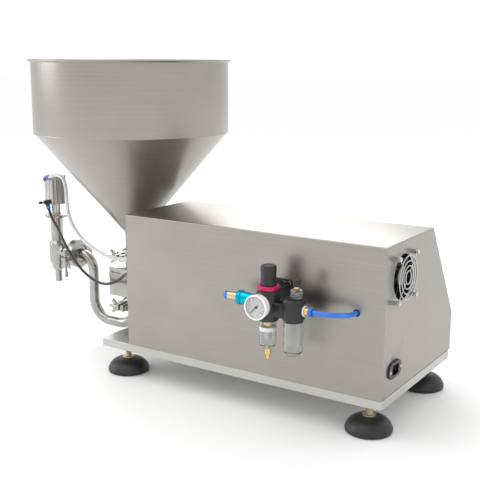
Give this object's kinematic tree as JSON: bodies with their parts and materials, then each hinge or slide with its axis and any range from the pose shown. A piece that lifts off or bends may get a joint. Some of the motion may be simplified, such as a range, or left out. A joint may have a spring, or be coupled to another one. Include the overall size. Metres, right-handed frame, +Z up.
{
  "type": "piston liquid filler",
  "caption": "Tabletop piston filler: stainless housing on rubber feet, round hopper over a rotary valve, pipe to a blow-off nozzle, air regulator unit and fan.",
  "frame": {"origin": "on the floor under the middle of the machine's bounding box", "axes": "+X from the filling nozzle to the fan end, +Y from the air unit's wall to the operator's sloped panel, +Z up"},
  "size_m": [0.8934, 0.4422, 0.6025],
  "materials": {
    "plate_steel": "brushed, satin",
    "foot_rubber": "matt",
    "housing_steel": "fine brushed, satin",
    "hopper_steel": "spun and brushed, satin",
    "seal_rubber": "white sanitary rubber",
    "cast_steel": "cast, bead blasted and polished",
    "block_steel": "milled, satin",
    "turned_steel": "turned, bright",
    "pipe_steel": "polished tube",
    "anodised": "clear anodised",
    "chrome": "polished",
    "black_paint": "satin",
    "grey_plastic": "fine grain",
    "black_plastic": "fine grain",
    "red_plastic": "gloss",
    "green_plastic": "gloss",
    "magenta_plastic": "satin",
    "gauge_white": "gloss",
    "needle_paint": "matt",
    "clear_plastic": "clear polycarbonate",
    "brass": "nickel free, satin",
    "teal_anodised": "teal anodised",
    "blue_tube": "satin polyurethane",
    "black_tube": "satin polyurethane",
    "clear_tube": "milky polyurethane"
  },
  "bodies": {
    "frame": {"base_plate": "plate_steel", "cover_shell": "housing_steel", "front_panel": "housing_steel", "rear_panel": "housing_steel", "hopper": "hopper_steel", "joint_gaskets": "seal_rubber", "pipe_clamps": "cast_steel", "nozzle_clamp": "cast_steel", "valve_block": "block_steel", "valve_actuator": "anodised", "discharge_pipe": "pipe_steel", "nozzle_body": "turned_steel", "nozzle_tip": "turned_steel", "cylinder_mount": "turned_steel", "nozzle_cylinder": "anodised", "pump_cylinder": "turned_steel", "cylinder_bracket": "anodised", "linear_rails": "turned_steel", "screw_supports": "anodised", "servo_motor": "black_paint", "servo_drive": "grey_plastic", "air_valves": "anodised", "fan_frame": "black_plastic", "fan_guard": "chrome", "fan_screws": "chrome", "power_inlet": "black_plastic", "operator_panel": "black_plastic", "regulator_body": "black_plastic", "lock_ring": "magenta_plastic", "air_bracket": "black_paint", "pressure_gauge": "gauge_white", "filter_bowl": "clear_plastic", "lubricator_body": "black_plastic", "lubricator_bowl": "clear_plastic", "sight_dome": "clear_plastic", "unit_fittings": "brass", "hose_fittings": "black_plastic", "blue_hose": "blue_tube", "black_hose": "black_tube", "clear_hose": "clear_tube"},
    "piston_drive": {"piston": "turned_steel", "carriage": "anodised"},
    "screw": {"ball_screw": "chrome"},
    "rotor": {"valve_rotor": "turned_steel"},
    "stem": {"nozzle_stem": "chrome"},
    "fan": {"fan_rotor": "black_plastic"},
    "needle": {"gauge_needle": "needle_paint"},
    "pressure_knob": {"regulator_knob": "black_plastic"},
    "slide_valve": {"valve_sleeve": "teal_anodised"},
    "oil_knob": {"lubricator_knob": "black_plastic"},
    "drain": {"drain_valve": "brass"},
    "upper_nut": {"upper_wing_nut": "cast_steel"},
    "lower_nut": {"lower_wing_nut": "cast_steel"},
    "nozzle_nut": {"nozzle_wing_nut": "cast_steel"},
    "stop_cap": {"stop_button": "red_plastic"},
    "start_cap": {"start_button": "green_plastic"},
    "levelling_foot_1": {"foot_1": "foot_rubber"},
    "levelling_foot_2": {"foot_2": "foot_rubber"},
    "levelling_foot_3": {"foot_3": "foot_rubber"},
    "levelling_foot_4": {"foot_4": "foot_rubber"}
  },
  "joints": [
    {"name": "piston_slide", "type": "slide", "parent": "frame", "child": "piston_drive", "axis": [1, 0, 0], "range_m": [0, 0.11]},
    {"name": "screw_turn", "type": "hinge", "parent": "frame", "child": "screw", "pos_m": [0.1, 0.0199, 0.104], "axis": [1, 0, 0], "range_deg": [0, 1990]},
    {"name": "rotor_turn", "type": "hinge", "parent": "frame", "child": "rotor", "pos_m": [-0.19725, 0.0199, 0.149], "axis": [0, 1, 0], "range_deg": [0, 90]},
    {"name": "stem_slide", "type": "slide", "parent": "frame", "child": "stem", "axis": [0, 0, 1], "range_m": [0, 0.012]},
    {"name": "fan_turn", "type": "hinge", "parent": "frame", "child": "fan", "pos_m": [0.42, -0.0663, 0.2612], "axis": [1, 0, 0], "continuous": true},
    {"name": "needle_turn", "type": "hinge", "parent": "frame", "child": "needle", "pos_m": [0.25175, -0.21, 0.217], "axis": [0, 1, 0], "range_deg": [0, 270]},
    {"name": "knob_turn", "type": "hinge", "parent": "frame", "child": "pressure_knob", "pos_m": [0.25175, -0.1801, 0.26], "axis": [0, 0, 1], "range_deg": [-720, 720]},
    {"name": "sleeve_slide", "type": "slide", "parent": "frame", "child": "slide_valve", "axis": [-1, 0, 0], "range_m": [0, 0.007]},
    {"name": "oil_knob_turn", "type": "hinge", "parent": "frame", "child": "oil_knob", "pos_m": [0.30375, -0.1801, 0.26], "axis": [0, 0, 1], "range_deg": [0, 720]},
    {"name": "drain_turn", "type": "hinge", "parent": "frame", "child": "drain", "pos_m": [0.25175, -0.1801, 0.15], "axis": [0, 0, 1], "range_deg": [0, 90]},
    {"name": "upper_nut_turn", "type": "hinge", "parent": "frame", "child": "upper_nut", "pos_m": [-0.2145, -0.0261, 0.204], "axis": [-1, 0, 0], "continuous": true},
    {"name": "lower_nut_turn", "type": "hinge", "parent": "frame", "child": "lower_nut", "pos_m": [-0.2145, -0.0261, 0.098], "axis": [-1, 0, 0], "continuous": true},
    {"name": "nozzle_nut_turn", "type": "hinge", "parent": "frame", "child": "nozzle_nut", "pos_m": [-0.35925, -0.0193, 0.17], "axis": [0, 0, -1], "continuous": true},
    {"name": "stop_press", "type": "slide", "parent": "frame", "child": "stop_cap", "axis": [0, -0.84, -0.5426], "range_m": [0, 0.005], "stiffness_N_per_m": 600, "springref_m": -0.001},
    {"name": "start_press", "type": "slide", "parent": "frame", "child": "start_cap", "axis": [0, -0.84, -0.5426], "range_m": [0, 0.003], "stiffness_N_per_m": 500, "springref_m": -0.001},
    {"name": "foot_1_height", "type": "slide", "parent": "frame", "child": "levelling_foot_1", "axis": [0, 0, -1], "range_m": [0, 0.01]},
    {"name": "foot_2_height", "type": "slide", "parent": "frame", "child": "levelling_foot_2", "axis": [0, 0, -1], "range_m": [0, 0.01]},
    {"name": "foot_3_height", "type": "slide", "parent": "frame", "child": "levelling_foot_3", "axis": [0, 0, -1], "range_m": [0, 0.01]},
    {"name": "foot_4_height", "type": "slide", "parent": "frame", "child": "levelling_foot_4", "axis": [0, 0, -1], "range_m": [0, 0.01]}
  ],
  "couplings": [
    {"joint": "screw_turn", "follows": "piston_slide", "rad_per_m": 314.16}
  ]
}
